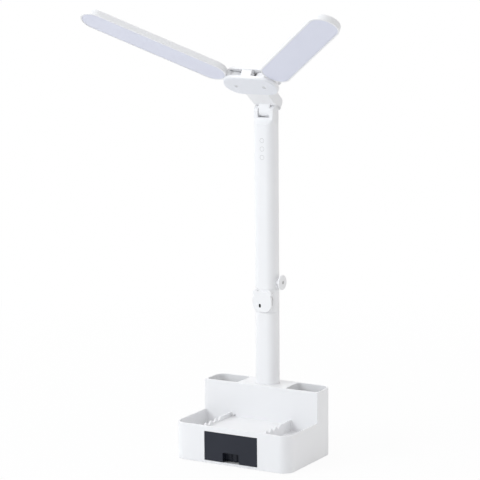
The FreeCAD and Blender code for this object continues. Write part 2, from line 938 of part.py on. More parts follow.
def hinge_fork():
    """Pole head that narrows into two round-topped prongs beside the knuckle."""
    half_x = fork_width / 2
    half_y = fork_depth / 2
    blend_top = pole_top + fork_blend_height
    neck_ring = [
        (-half_x, pole_y - half_y, fork_corner_radius),
        (half_x, pole_y - half_y, fork_corner_radius),
        (half_x, pole_y + half_y, fork_corner_radius),
        (-half_x, pole_y + half_y, fork_corner_radius),
    ]
    blend = Part.makeLoft([
        lifted(edge_ring(pole_ring(0)), pole_top),
        lifted(edge_ring(neck_ring), blend_top),
    ], True, True)
    round_top = side_profile(Part.Face(edge_ring([
        (pole_y - half_y, blend_top, 0),
        (pole_y + half_y, blend_top, 0),
        (pole_y + half_y, hinge_z + half_y, half_y),
        (pole_y - half_y, hinge_z + half_y, half_y),
    ])), half_x)
    stem = prism(neck_ring, blend_top, hinge_z + half_y).common(round_top)
    spigot = pole_prism(-pole_wall - pole_fit, pole_top - fork_spigot, pole_top)
    slot_half = knuckle_width / 2 + knuckle_gap
    slot = box(-slot_half, slot_half, pole_y - pole_depth, pole_y + pole_depth,
               hinge_z - fork_slot_drop, hinge_z + fork_depth)
    bore = rod(pin_radius, vec(-half_x, pole_y, hinge_z), fork_width - pin_skin, ACROSS)
    seat = rod(pin_head_radius, vec(-half_x, pole_y, hinge_z), pin_head_height, ACROSS)
    return union([spigot, blend, stem]).cut([slot, bore, seat])


def hinge_pin():
    """Pin with a flat head in the left prong and a blind end in the right one."""
    start = vec(-fork_width / 2, pole_y, hinge_z)
    shaft = rod(pin_radius, start, fork_width - pin_skin, ACROSS)
    head = rod(pin_head_radius, start, pin_head_height, ACROSS)
    return union([shaft, head])


def head_placement():
    return FreeCAD.Placement(vec(0, pole_y, hinge_z), FreeCAD.Rotation(ACROSS, -head_tilt))


def on_head(shape):
    """Moves a shape from the level head frame, centred on the hinge, to its tilted place."""
    moved = shape.copy()
    moved.Placement = head_placement().multiply(moved.Placement)
    return moved


def pivot_places():
    return [-wing_pivot_spacing / 2, wing_pivot_spacing / 2]


def disc_clearance():
    """Room for the wings' root discs between the hub's plates."""
    return [rod(tongue_radius + tongue_gap, vec(x, -hub_reach, hub_floor_top), hub_roof - hub_floor_top, UP)
            for x in pivot_places()]


def hub_lower_shell():
    """Lower hub plate with the neck's floor and the hinge knuckle on its lug."""
    plate = obround(hub_length, hub_width, 0, -hub_reach, hub_floor, hub_floor_top)
    half = neck_width / 2
    floor = box(-half, half, -hub_reach, neck_back, hub_floor, hub_floor_top)
    body = union([plate, floor])
    posts = [edge for edge in body.Edges
             if edge.BoundBox.ZLength > hub_plate_thickness / 2
             and abs(abs(edge.BoundBox.XMin) - half) < flush]
    body = body.makeFillet(neck_fillet, [edge for edge in posts if edge.BoundBox.YMax < 0])
    posts = [edge for edge in body.Edges
             if edge.BoundBox.ZLength > hub_plate_thickness / 2
             and abs(edge.BoundBox.YMin - neck_back) < flush]
    body = body.makeFillet(neck_side_round, posts)
    body = rounded_at(body, hub_floor, hub_edge_round)
    body = body.cut(rod(neck_relief, vec(-hub_length, 0, 0), 2 * hub_length, ACROSS))
    knuckle_half = knuckle_width / 2
    knuckle = rod(knuckle_radius, vec(-knuckle_half, 0, 0), knuckle_width, ACROSS)
    reach = math.hypot(knuckle_reach, hub_floor_top)
    touch = math.atan2(hub_floor_top, -knuckle_reach) + math.acos(knuckle_radius / reach)
    lug = side_profile(Part.Face(edge_ring([
        (-knuckle_reach, hub_floor_top, 0),
        (knuckle_radius * math.cos(touch), knuckle_radius * math.sin(touch), 0),
        (0, 0, 0),
        (neck_back, 0, 0),
        (neck_back, hub_floor_top, 0),
    ])), knuckle_half)
    body = union([body, lug, knuckle])
    cutters = [rod(bush_outer_radius, vec(-knuckle_half - overrun, 0, 0),
                   knuckle_width + 2 * overrun, ACROSS)]
    for x in pivot_places():
        cutters.append(rod(pivot_radius, vec(x, -hub_reach, hub_floor), hub_plate_thickness, UP))
        cutters.append(rod(pivot_head_radius, vec(x, -hub_reach, hub_floor - overrun),
                           pivot_head_height + overrun, UP))
    for y in hub_screw_rows():
        cutters.append(rod(hub_screw_radius, vec(0, y, hub_floor_top - hub_plate_thickness / 2),
                           hub_plate_thickness, UP))
    return on_head(body.cut(cutters))


def hub_screw_rows():
    return [-hub_reach - hub_screw_front, -hub_reach + hub_screw_back]


def hub_upper_shell():
    """Upper hub plate and the neck's hood, hollow over the hinge and solid at the rear hub screw."""
    plate = obround(hub_length, hub_width, 0, -hub_reach, hub_roof, hub_top)
    plate = rounded_at(plate, hub_top, hub_top_round)
    half = neck_width / 2
    hood = side_profile(Part.Face(edge_ring([
        (-neck_front, hub_floor_top, 0),
        (-neck_front, hub_top, 0),
        (-neck_slope_start, hub_top, 0),
        (neck_back, neck_back_height, neck_back_round),
        (neck_back, hub_floor_top, 0),
    ])), half)
    sides = [edge for edge in hood.Edges
             if abs(abs(edge.BoundBox.XMin) - half) < flush and edge.BoundBox.XLength < flush
             and edge.BoundBox.ZMax > hub_floor_top + flush and edge.BoundBox.YMax > -neck_front + flush]
    hood = hood.makeFillet(neck_side_round, sides)
    inside = neck_wall + neck_back_round - neck_back
    hollow = box(-half + neck_wall, half - neck_wall, -neck_slope_start, -inside,
                 hub_floor_top - overrun, neck_back_height - neck_wall)
    cutters = disc_clearance() + [hollow]
    for x in pivot_places():
        cutters.append(rod(pivot_radius, vec(x, -hub_reach, hub_roof - overrun),
                           pivot_top_depth + overrun, UP))
    for y in hub_screw_rows():
        cutters.append(rod(hub_screw_radius, vec(0, y, hub_floor_top - overrun),
                           hub_top - hub_floor_top + 2 * overrun, UP))
        cutters.append(rod(hub_screw_head_radius, vec(0, y, hub_top - hub_screw_head_height),
                           hub_screw_head_height + overrun, UP))
    return on_head(union([plate, hood]).cut(cutters))


def hub_spacer():
    """Block that holds the plates apart at the hub's front, between the wings' discs."""
    half = spacer_width / 2
    front = -hub_reach - hub_width / 2 + spacer_inset
    block = plan_box(-half, half, front, front + spacer_depth, hub_floor_top, hub_roof,
                     [spacer_edge_round, spacer_edge_round, 0, 0])
    hole = rod(hub_screw_radius, vec(0, -hub_reach - hub_screw_front, hub_floor_top - overrun),
               hub_roof - hub_floor_top + 2 * overrun, UP)
    return on_head(block.cut(hole))


def hub_screws():
    bottom = hub_floor_top - hub_plate_thickness / 2
    head_low = hub_top - hub_screw_head_height
    screws = []
    for y in hub_screw_rows():
        shaft = rod(hub_screw_radius, vec(0, y, bottom), head_low - bottom, UP)
        head = rod(hub_screw_head_radius, vec(0, y, head_low), hub_screw_head_height, UP)
        screws.append(union([shaft, head]))
    return on_head(Part.makeCompound(screws))


def knuckle_bush():
    return on_head(tube(bush_outer_radius, pin_radius + pin_running_gap,
                        vec(-knuckle_width / 2, 0, 0), knuckle_width, ACROSS))


def pivot_screws():
    """Shoulder screws of the wings: head flush under the lower plate, end in the upper plate."""
    screws = []
    for x in pivot_places():
        head = rod(pivot_head_radius, vec(x, -hub_reach, hub_floor), pivot_head_height, UP)
        shaft = rod(pivot_radius, vec(x, -hub_reach, hub_floor + pivot_head_height),
                    hub_roof + pivot_top_depth - hub_floor - pivot_head_height, UP)
        drive = rod(pivot_drive_radius, vec(x, -hub_reach, hub_floor - overrun),
                    pivot_drive_depth + overrun, UP)
        screws.append(union([head, shaft]).cut(drive))
    return on_head(Part.makeCompound(screws))


def pivot_washers():
    rings = []
    for x in pivot_places():
        for z in (hub_floor_top, hub_roof - washer_thickness):
            rings.append(tube(washer_radius, pivot_radius, vec(x, -hub_reach, z), washer_thickness, UP))
    return on_head(Part.makeCompound(rings))


def on_wing(shape, side):
    """Moves a shape from the wing's own frame, along X from its pivot, to its place on the head."""
    angle = -wing_spread if side > 0 else 180 + wing_spread
    local = FreeCAD.Placement(vec(side * wing_pivot_spacing / 2, -hub_reach, wing_face),
                              FreeCAD.Rotation(UP, angle))
    moved = shape.copy()
    moved.Placement = head_placement().multiply(local).multiply(moved.Placement)
    return moved


def wing_oval(inset, z0, z1):
    return obround(wing_length - 2 * inset, wing_width - 2 * inset,
                   wing_root_gap + wing_length / 2, 0, z0, z1)


def tongue_span():
    low = washer_thickness
    high = wing_thickness - washer_thickness
    return low, high


def wing_housing(side):
    """Shallow oval tray that opens to the lit face, with an arm and a pivot disc at its root."""
    body = wing_oval(0, 0, wing_thickness)
    body = rounded_at(body, wing_thickness, wing_top_round)
    body = rounded_at(body, 0, wing_face_round)
    low, high = tongue_span()
    disc = rod(tongue_radius, vec(0, 0, low), high - low, UP)
    arm = box(0, wing_root_gap + tongue_run_in, -tongue_width / 2, tongue_width / 2, low, high)
    body = union([body, disc, arm])
    face_pocket = wing_oval(bezel, -overrun, diffuser_inset + diffuser_thickness)
    lamp_pocket = wing_oval(bezel + diffuser_ledge, 0, wing_thickness - wing_roof)
    bore = rod(wing_bush_radius, vec(0, 0, low - overrun), high - low + 2 * overrun, UP)
    relief = tube(tongue_radius - tongue_rim, tongue_hub_radius,
                  vec(0, 0, low + tongue_floor), high - low, UP)
    relief = relief.cut(box(0, tongue_radius, -tongue_width / 2, tongue_width / 2, low, wing_thickness))
    return on_wing(body.cut([face_pocket, lamp_pocket, bore, relief]), side)


def wing_diffuser(side):
    return on_wing(wing_oval(bezel + diffuser_fit, diffuser_inset,
                             diffuser_inset + diffuser_thickness), side)


def wing_led_board(side):
    """Board under the wing's roof, with two rows of lamps that face the diffuser."""
    x0 = wing_root_gap + led_board_margin
    x1 = wing_root_gap + wing_length - led_board_margin
    top = wing_thickness - wing_roof
    under = top - led_board_thickness
    half = led_board_width / 2
    board = box(x0, x1, -half, half, under, top)
    count = int((x1 - x0 - led_size) / led_pitch)
    start = (x0 + x1 - (count - 1) * led_pitch) / 2
    lamps = [
        box(start + i * led_pitch - led_size / 2, start + i * led_pitch + led_size / 2,
            row * led_row_spacing / 2 - led_size / 2, row * led_row_spacing / 2 + led_size / 2,
            under - led_height, under)
        for i in range(count)
        for row in (-1, 1)
    ]
    return on_wing(union([board] + lamps), side)


def wing_bush(side):
    low, high = tongue_span()
    return on_wing(tube(wing_bush_radius, pivot_radius + pin_running_gap,
                        vec(0, 0, low), high - low, UP), side)


nodes = {
    "organizer_shell": organizer_shell(),
    "bottom_cover": bottom_cover(),
    "rubber_feet": rubber_feet(),
    "cover_screws": cover_screws(),
    "ballast_plate": ballast_plate(),
    "runner_left": runner(-1),
    "runner_right": runner(1),
    "drawer_box": drawer_box(),
    "drawer_front": drawer_front(),
    "drawer_screws": drawer_screws(),
    "battery_holder": battery_holder(),
    "battery_cells": battery_cells(),
    "control_board": control_board(),
    "charging_port": charging_port(),
    "pole_socket": pole_socket(),
    "socket_screws": socket_screws(),
    "lower_pole": lower_pole(),
    "pole_collar": pole_collar(),
    "upper_pole": upper_pole(),
    "pole_joiner": pole_joiner(),
    "front_hook": front_hook(),
    "side_hook": side_hook(),
    "side_hook_screw": side_hook_screw(),
    "touch_board": touch_board(),
    "hinge_fork": hinge_fork(),
    "hinge_pin": hinge_pin(),
    "hub_lower_shell": hub_lower_shell(),
    "hub_upper_shell": hub_upper_shell(),
    "hub_spacer": hub_spacer(),
    "hub_screws": hub_screws(),
    "knuckle_bush": knuckle_bush(),
    "pivot_screws": pivot_screws(),
    "pivot_washers": pivot_washers(),
}
for name, side in (("left", -1), ("right", 1)):
    nodes[name + "_wing_housing"] = wing_housing(side)
    nodes[name + "_wing_diffuser"] = wing_diffuser(side)
    nodes[name + "_wing_led_board"] = wing_led_board(side)
    nodes[name + "_wing_bush"] = wing_bush(side)

for name, shape in nodes.items():
    print(name, len(shape.Solids), shape.isValid(), round(shape.Volume))
    shape.exportStep("parts/" + name + ".step")
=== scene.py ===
import json
import math

import bmesh
import bpy
from mathutils import Matrix, Vector


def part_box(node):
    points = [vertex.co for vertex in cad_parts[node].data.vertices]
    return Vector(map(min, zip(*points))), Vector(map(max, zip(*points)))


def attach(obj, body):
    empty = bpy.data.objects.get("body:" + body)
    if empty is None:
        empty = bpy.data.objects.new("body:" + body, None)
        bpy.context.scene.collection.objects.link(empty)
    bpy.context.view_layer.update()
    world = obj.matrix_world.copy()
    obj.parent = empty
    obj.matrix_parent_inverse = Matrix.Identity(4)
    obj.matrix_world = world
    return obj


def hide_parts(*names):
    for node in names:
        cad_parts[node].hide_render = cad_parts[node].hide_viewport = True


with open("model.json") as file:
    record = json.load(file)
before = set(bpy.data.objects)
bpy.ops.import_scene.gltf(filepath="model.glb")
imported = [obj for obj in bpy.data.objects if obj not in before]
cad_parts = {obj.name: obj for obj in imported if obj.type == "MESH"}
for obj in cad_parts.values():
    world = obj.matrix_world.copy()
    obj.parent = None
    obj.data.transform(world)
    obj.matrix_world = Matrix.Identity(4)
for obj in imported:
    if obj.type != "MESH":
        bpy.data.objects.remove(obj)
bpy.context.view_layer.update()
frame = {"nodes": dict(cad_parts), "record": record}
nodes = frame["nodes"]

MM = 0.001
WINGS = ("left_wing", "right_wing")

# The camera of the photograph: place in metres, angles in degrees, lens in millimetres
CAMERA_PLACE = (1.3510, -2.3593, 0.7518)
CAMERA_YAW = 30.128
CAMERA_PITCH = 9.39
CAMERA_ROLL = -0.469
CAMERA_LENS = 152.1
SENSOR_WIDTH = 36
FRAME_PIXELS = 480
CENTRE_OFFSET_PIXELS = 0.5
FARTHEST_SEEN = 100


def placed(name, data):
    """New object with the data given, in the scene."""
    piece = bpy.data.objects.new(name, data)
    bpy.context.scene.collection.objects.link(piece)
    return piece


# Shader building

# A band is the two noise values between which the remapped value goes from its low to its high end
DRIFT_BAND = (0.35, 0.65)
DRIFT_DETAIL = 3
HANDLING_SCALE = 45
HANDLING_DETAIL = 5
HANDLING_ROUGHNESS = 0.65
ROUGHNESS_BAND = (0.3, 0.7)
GRAIN_HEIGHT = 0.08 * MM
STAIN_SCALE = 160
STAIN_DETAIL = 4
STAIN_BAND = (0.4, 0.7)
SCRATCH_STRETCH = (1, 1, 0.05)
SCRATCH_DETAIL = 4
SCRATCH_ROUGHNESS = 0.7
SCRATCH_STRENGTH = 0.15
SCRATCH_HEIGHT = 0.05 * MM
SURFACE_OUTPUTS = (
    ("Color", "NodeSocketColor"),
    ("Roughness", "NodeSocketFloat"),
    ("Normal", "NodeSocketVector"),
)


def shader_group(name, inputs, outputs):
    """Node group with named sockets: inputs as (name, type, value), outputs as (name, type)."""
    group = bpy.data.node_groups.new(name, "ShaderNodeTree")
    for label, kind, value in inputs:
        socket = group.interface.new_socket(name=label, in_out="INPUT", socket_type=kind)
        socket.default_value = value
    for label, kind in outputs:
        group.interface.new_socket(name=label, in_out="OUTPUT", socket_type=kind)
    return group, group.nodes.new("NodeGroupInput"), group.nodes.new("NodeGroupOutput")


def noise(tree, coordinates, scale, detail, roughness=0.5):
    node = tree.nodes.new("ShaderNodeTexNoise")
    node.inputs["Detail"].default_value = detail
    node.inputs["Roughness"].default_value = roughness
    tree.links.new(coordinates, node.inputs["Vector"])
    if isinstance(scale, (int, float)):
        node.inputs["Scale"].default_value = scale
    else:
        tree.links.new(scale, node.inputs["Scale"])
    return node.outputs["Fac"]


def remap(tree, value, band, to_low, to_high):
    node = tree.nodes.new("ShaderNodeMapRange")
    node.inputs["From Min"].default_value = band[0]
    node.inputs["From Max"].default_value = band[1]
    tree.links.new(value, node.inputs["Value"])
    for label, target in (("To Min", to_low), ("To Max", to_high)):
        if isinstance(target, (int, float)):
            node.inputs[label].default_value = target
        else:
            tree.links.new(target, node.inputs[label])
    return node.outputs["Result"]


def mix_colour(tree, factor, first, second):
    node = tree.nodes.new("ShaderNodeMix")
    node.data_type = "RGBA"
    tree.links.new(factor, node.inputs["Factor"])
    colour_inputs = [socket for socket in node.inputs if socket.type == "RGBA"]
    for socket, value in zip(colour_inputs, (first, second)):
        tree.links.new(value, socket)
    return [socket for socket in node.outputs if socket.type == "RGBA"][0]


def link_results(group, end, colour, rough, bump):
    group.links.new(colour, end.inputs["Color"])
    group.links.new(rough, end.inputs["Roughness"])
    group.links.new(bump.outputs["Normal"], end.inputs["Normal"])


def moulded_surface_group():
    """Moulded plastic: slow tone drift, fine spark-eroded grain and handling marks."""
    group, start, end = shader_group("moulded_surface", [
        ("Tint", "NodeSocketColor", (0.9, 0.9, 0.9, 1)),
        ("Shade", "NodeSocketColor", (0.85, 0.85, 0.85, 1)),
        ("Drift Scale", "NodeSocketFloat", 9.0),
        ("Grain Scale", "NodeSocketFloat", 1800.0),
        ("Grain Depth", "NodeSocketFloat", 0.12),
        ("Rough Low", "NodeSocketFloat", 0.4),
        ("Rough High", "NodeSocketFloat", 0.5),
    ], SURFACE_OUTPUTS)
    place = group.nodes.new("ShaderNodeTexCoord").outputs["Object"]
    drift = noise(group, place, start.outputs["Drift Scale"], DRIFT_DETAIL)
    drift_mask = remap(group, drift, DRIFT_BAND, 0, 1)
    colour = mix_colour(group, drift_mask, start.outputs["Tint"], start.outputs["Shade"])
    handling = noise(group, place, HANDLING_SCALE, HANDLING_DETAIL, HANDLING_ROUGHNESS)
    rough = remap(group, handling, ROUGHNESS_BAND,
                  start.outputs["Rough Low"], start.outputs["Rough High"])
    grain = group.nodes.new("ShaderNodeTexVoronoi")
    grain.feature = "SMOOTH_F1"
    group.links.new(place, grain.inputs["Vector"])
    group.links.new(start.outputs["Grain Scale"], grain.inputs["Scale"])
    bump = group.nodes.new("ShaderNodeBump")
    bump.inputs["Distance"].default_value = GRAIN_HEIGHT
    group.links.new(start.outputs["Grain Depth"], bump.inputs["Strength"])
    group.links.new(grain.outputs["Distance"], bump.inputs["Height"])
    link_results(group, end, colour, rough, bump)
    return group


def rubbed_metal_group():
    """Small metal parts: fine turned or rolled scratches and a slow stain."""
    group, start, end = shader_group("rubbed_metal", [
        ("Tint", "NodeSocketColor", (0.6, 0.6, 0.6, 1)),
        ("Stain", "NodeSocketColor", (0.4, 0.4, 0.4, 1)),
        ("Scratch Scale", "NodeSocketFloat", 900.0),
        ("Rough Low", "NodeSocketFloat", 0.25),
        ("Rough High", "NodeSocketFloat", 0.45),
    ], SURFACE_OUTPUTS)
    place = group.nodes.new("ShaderNodeTexCoord").outputs["Object"]
    stain = remap(group, noise(group, place, STAIN_SCALE, STAIN_DETAIL), STAIN_BAND, 0, 1)
    colour = mix_colour(group, stain, start.outputs["Tint"], start.outputs["Stain"])
    stretch = group.nodes.new("ShaderNodeMapping")
    stretch.inputs["Scale"].default_value = SCRATCH_STRETCH
    group.links.new(place, stretch.inputs["Vector"])
    scratches = noise(group, stretch.outputs["Vector"], start.outputs["Scratch Scale"],
                      SCRATCH_DETAIL, SCRATCH_ROUGHNESS)
    rough = remap(group, scratches, ROUGHNESS_BAND,
                  start.outputs["Rough Low"], start.outputs["Rough High"])
    bump = group.nodes.new("ShaderNodeBump")
    bump.inputs["Strength"].default_value = SCRATCH_STRENGTH
    bump.inputs["Distance"].default_value = SCRATCH_HEIGHT
    group.links.new(scratches, bump.inputs["Height"])
    link_results(group, end, colour, rough, bump)
    return group


moulded_surface = moulded_surface_group()
rubbed_metal = rubbed_metal_group()


def surfaced_material(name, group, values, **constants):
    """Material with a surface group's colour, roughness and normal; constants go on the shader."""
    material = bpy.data.materials.new(name)
    material.use_nodes = True
    tree = material.node_tree
    shader = tree.nodes["Principled BSDF"]
    surface = tree.nodes.new("ShaderNodeGroup")
    surface.node_tree = group
    for label, value in values.items():
        surface.inputs[label].default_value = value
    tree.links.new(surface.outputs["Color"], shader.inputs["Base Color"])
    tree.links.new(surface.outputs["Roughness"], shader.inputs["Roughness"])
    tree.links.new(surface.outputs["Normal"], shader.inputs["Normal"])
    for label, value in constants.items():
        shader.inputs[label.replace("_", " ")].default_value = value
    return material


def grey(value, blue=1.0, red=1.0):
    """Grey colour with its blue and red parts raised or lowered by a factor."""
    return (value * red, value, value * blue, 1)


white_plastic = surfaced_material("white_satin_plastic", moulded_surface, {
    "Tint": grey(0.875, 1.012), "Shade": grey(0.855, 1.018), "Drift Scale": 7.0,
    "Grain Scale": 1500.0, "Grain Depth": 0.025, "Rough Low": 0.38, "Rough High": 0.46,
}, IOR=1.5)
# Darker, bluer copy of the white plastic for the hub's downward face: painted shade and painted
# bluish light from below
hub_face_painted_shade = surfaced_material("hub_face_painted_shade", moulded_surface, {
    "Tint": grey(0.815, 1.05, 0.985), "Shade": grey(0.8, 1.055, 0.985), "Drift Scale": 7.0,
    "Grain Scale": 1500.0, "Grain Depth": 0.025, "Rough Low": 0.38, "Rough High": 0.46,
}, IOR=1.5)
drawer_plastic = surfaced_material("dark_drawer_plastic", moulded_surface, {
    "Tint": (0.016, 0.019, 0.031, 1), "Shade": (0.012, 0.015, 0.025, 1), "Drift Scale": 14.0,
    "Grain Scale": 1300.0, "Grain Depth": 0.12, "Rough Low": 0.34, "Rough High": 0.48,
}, IOR=1.38)
inner_plastic = surfaced_material("plain_inner_plastic", moulded_surface, {
    "Tint": grey(0.7), "Shade": grey(0.62), "Grain Depth": 0.2,
    "Rough Low": 0.5, "Rough High": 0.62,
}, IOR=1.48)
washer_plastic = surfaced_material("friction_washer_plastic", moulded_surface, {
    "Tint": grey(0.12), "Shade": grey(0.09), "Grain Depth": 0.2,
    "Rough Low": 0.4, "Rough High": 0.55,
}, IOR=1.48)
foot_rubber = surfaced_material("foot_rubber", moulded_surface, {
    "Tint": grey(0.035), "Shade": grey(0.05), "Drift Scale": 60.0, "Grain Scale": 900.0,
    "Grain Depth": 0.5, "Rough Low": 0.7, "Rough High": 0.85,
}, IOR=1.45)
board_lacquer = surfaced_material("circuit_board_lacquer", moulded_surface, {
    "Tint": (0.01, 0.10, 0.035, 1), "Shade": (0.006, 0.07, 0.025, 1), "Drift Scale": 300.0,
    "Grain Depth": 0.05, "Rough Low": 0.2, "Rough High": 0.3,
}, IOR=1.5)
lamp_board_lacquer = surfaced_material("lamp_board_lacquer", moulded_surface, {
    "Tint": grey(0.82), "Shade": grey(0.76), "Drift Scale": 200.0, "Grain Depth": 0.05,
    "Rough Low": 0.25, "Rough High": 0.35,
}, IOR=1.5)
cell_sleeve = surfaced_material("battery_cell_sleeve", moulded_surface, {
    "Tint": (0.03, 0.09, 0.28, 1), "Shade": (0.02, 0.07, 0.22, 1), "Drift Scale": 80.0,
    "Grain Depth": 0.05, "Rough Low": 0.2, "Rough High": 0.32,
}, IOR=1.5)
touch_ink = surfaced_material("touch_mark_ink", moulded_surface, {
    "Tint": grey(0.58), "Shade": grey(0.52), "Drift Scale": 300.0, "Grain Depth": 0.05,
    "Rough Low": 0.4, "Rough High": 0.5,
}, IOR=1.48)
screw_steel = surfaced_material("zinc_plated_steel", rubbed_metal, {
    "Tint": grey(0.55), "Stain": grey(0.42),
}, Metallic=1.0)
ballast_iron = surfaced_material("blackened_ballast_plate", rubbed_metal, {
    "Tint": grey(0.11), "Stain": grey(0.07), "Scratch Scale": 400.0,
    "Rough Low": 0.45, "Rough High": 0.65,
}, Metallic=1.0)
port_shell = surfaced_material("plated_port_shell", rubbed_metal, {
    "Tint": grey(0.62), "Stain": grey(0.5), "Rough Low": 0.16, "Rough High": 0.3,
}, Metallic=1.0)
bush_brass = surfaced_material("turned_brass", rubbed_metal, {
    "Tint": (0.56, 0.37, 0.13, 1), "Stain": (0.42, 0.26, 0.09, 1),
}, Metallic=1.0)
pivot_paint = surfaced_material("painted_pivot_screw", moulded_surface, {
    "Tint": grey(0.84, 1.02), "Shade": grey(0.8, 1.02), "Grain Depth": 0.1,
    "Rough Low": 0.3, "Rough High": 0.42,
}, IOR=1.5)
# Near-black finish for the keyhole recess: painted shade where the hollow looks dark
keyhole_painted_shade = surfaced_material("painted_keyhole_shade", moulded_surface, {
    "Tint": grey(0.006), "Shade": grey(0.004), "Grain Depth": 0.05,
    "Rough Low": 0.6, "Rough High": 0.75,
}, IOR=1.4)
frosted_diffuser = surfaced_material("frosted_diffuser", moulded_surface, {
    "Tint": (0.715, 0.73, 0.835, 1), "Shade": (0.7, 0.715, 0.825, 1), "Drift Scale": 12.0,
    "Grain Scale": 2600.0, "Grain Depth": 0.03, "Rough Low": 0.34, "Rough High": 0.42,
}, IOR=1.49, Coat_Weight=0.15, Coat_Roughness=0.3)

slot_finish = {
    "white_plastic": white_plastic,
    "drawer_plastic": drawer_plastic,
    "diffuser_plastic": frosted_diffuser,
    "inner_plastic": inner_plastic,
    "washer_plastic": washer_plastic,
    "foot_rubber": foot_rubber,
    "ballast_iron": ballast_iron,
    "screw_steel": screw_steel,
    "pivot_metal": pivot_paint,
    "cell_steel": cell_sleeve,
    "board_green": board_lacquer,
    "led_board_white": lamp_board_lacquer,
    "port_steel": port_shell,
    "bush_brass": bush_brass,
}
node_slot = {entry["node"]: entry["material_slot"] for entry in frame["record"]["subparts"]}
node_body = {
    name: body
    for body, names in frame["record"]["behaviour"]["bodies"].items()
    for name in names
}


def paint_cad_nodes():
    for name, piece in nodes.items():
        finish = slot_finish[node_slot[name]]
        if not piece.material_slots:
            piece.data.materials.append(finish)
        for material_slot in piece.material_slots:
            material_slot.material = finish


# Pieces made from the CAD solids, with their edges broken as the mould leaves them

SMOOTH_ANGLE = math.radians(32)
FLAT_ANGLE = math.radians(1.0)
WELD = 0.01 * MM
FLAT_FACE_WEIGHT = 90
BREAK_SEGMENTS = 2
ROUNDED_NODES = (
    "organizer_shell", "side_hook", "hinge_fork", "hub_lower_shell", "hub_upper_shell",
    "bottom_cover", "lower_pole", "pole_collar", "upper_pole",
)
SHARP_NODE_BREAKS = {
    "drawer_front": 0.25 * MM,
    "drawer_box": 0.25 * MM,
    "hub_spacer": 0.4 * MM,
}
DIFFUSER_BREAK = 0.2 * MM

# The keyhole lies below this share of the hook pad's height, inside its rim and its two faces
KEYHOLE_SHARE = 0.6
PAD_RIM = 4 * MM
PAD_SKIN = 0.05 * MM


def finished_piece(name, mesh, body, slot, *replaced):
    piece = placed(name, mesh)
    if not mesh.materials:
        mesh.materials.append(slot_finish[slot])
    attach(piece, body)
    if replaced:
        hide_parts(*replaced)
    return piece


def applied(piece):
    """The evaluated mesh of a working object, which is then removed."""
    graph = bpy.context.evaluated_depsgraph_get()
    mesh = bpy.data.meshes.new_from_object(piece.evaluated_get(graph))
    bpy.data.objects.remove(piece)
    return mesh


def welded_copy(node):
    """Working object with a CAD node's mesh, its seams joined and its flat areas single faces."""
    mesh = nodes[node].data.copy()
    shape = bmesh.new()
    shape.from_mesh(mesh)
    bmesh.ops.remove_doubles(shape, verts=shape.verts, dist=WELD)
    bmesh.ops.dissolve_limit(shape, angle_limit=FLAT_ANGLE, verts=shape.verts, edges=shape.edges)
    shape.to_mesh(mesh)
    shape.free()
    return placed(node + "_work", mesh)


def finished_copy(node, work):
    """The piece that stands for a CAD node: smooth over its rounds, flat on its faces."""
    work.data.shade_smooth()
    work.data.set_sharp_from_angle(angle=SMOOTH_ANGLE)
    weigh = work.modifiers.new("flat faces first", "WEIGHTED_NORMAL")
    weigh.keep_sharp = True
    weigh.weight = FLAT_FACE_WEIGHT
    return finished_piece(node + "_finished", applied(work), node_body[node], node_slot[node], node)


def smoothed(node):
    """For a node whose edges the CAD solid already rounds."""
    return finished_copy(node, welded_copy(node))


def softened(node, break_width):
    """For a simple node with sharp edges, which get a small bevel."""
    work = welded_copy(node)
    bevel = work.modifiers.new("broken edges", "BEVEL")
    bevel.width = break_width
    bevel.segments = BREAK_SEGMENTS
    bevel.limit_method = "ANGLE"
    bevel.angle_limit = SMOOTH_ANGLE
    bevel.use_clamp_overlap = False
    bevel.miter_outer = "MITER_ARC"
    finished_copy(node, placed(node + "_work", applied(work)))


def paint_keyhole_shade(pad):
    """The faces of the keyhole recess in the lower part of the hook pad get a near-black finish:
    painted shade of the hollow, not a part of its own.
    """
    low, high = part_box("front_hook")
    left = low[0] + PAD_RIM
    right = high[0] - PAD_RIM
    front = low[1] + PAD_SKIN
    back = high[1] - PAD_SKIN
    bottom = low[2] + PAD_RIM
    top = low[2] + KEYHOLE_SHARE * (high[2] - low[2])
    # The faces inside the keyhole recess get the painted shade
    pad.data.materials.append(keyhole_painted_shade)
    for face in pad.data.polygons:
        x, y, z = face.center
        if left < x < right and front < y < back and bottom < z < top:
            face.material_index = 1


def soften_visible_nodes():
    paint_keyhole_shade(smoothed("front_hook"))
    for node in ROUNDED_NODES:
        smoothed(node)
    for node, break_width in SHARP_NODE_BREAKS.items():
        softened(node, break_width)
    for wing in WINGS:
        smoothed(wing + "_housing")
        softened(wing + "_diffuser", DIFFUSER_BREAK)


# Pieces built anew: screws, feet, touch rings and the hub's raised face

ROUND_STEPS = 40

# Turns that point a pattern's Z axis the way named
UPWARD = (0, 0, 0)
DOWNWARD = (math.pi, 0, 0)
TO_FRONT = (math.pi / 2, 0, 0)
TO_BACK = (-math.pi / 2, 0, 0)
TO_RIGHT = (0, math.pi / 2, 0)

# How far the head is tilted up at rest
HEAD_TILT = math.radians(35.7)

# Shares of a screw head's radius: the shaft, and the cross by arm and half width, top and floor
SHAFT_SHARE = 0.52
CROSS_SHARES = ((0.62, 0.15), (0.34, 0.11))

# Shares of a screw head's height
RIM_SHARE = 0.35
RECESS_SHARE = 0.6

# Share of the rim that its corner takes, and share of the shaft's radius that is left at its tip
RIM_CORNER_SHARE = 0.3
TIP_SHARE = 0.6

# Each kind of screw: axis, side of the heads along it, turn, head height and tilt
SCREW_KINDS = {
    "cover_screws": (2, -1, DOWNWARD, 1.3 * MM, 0),
    "socket_screws": (2, -1, DOWNWARD, 2.0 * MM, 0),
    "drawer_screws": (1, 1, TO_BACK, 1.3 * MM, 0),
    "side_hook_screw": (0, 1, TO_RIGHT, 1.6 * MM, 0),
    "hub_screws": (2, 1, UPWARD, 1.6 * MM, HEAD_TILT),
    "pivot_screws": (2, -1, DOWNWARD, 1.6 * MM, HEAD_TILT),
}

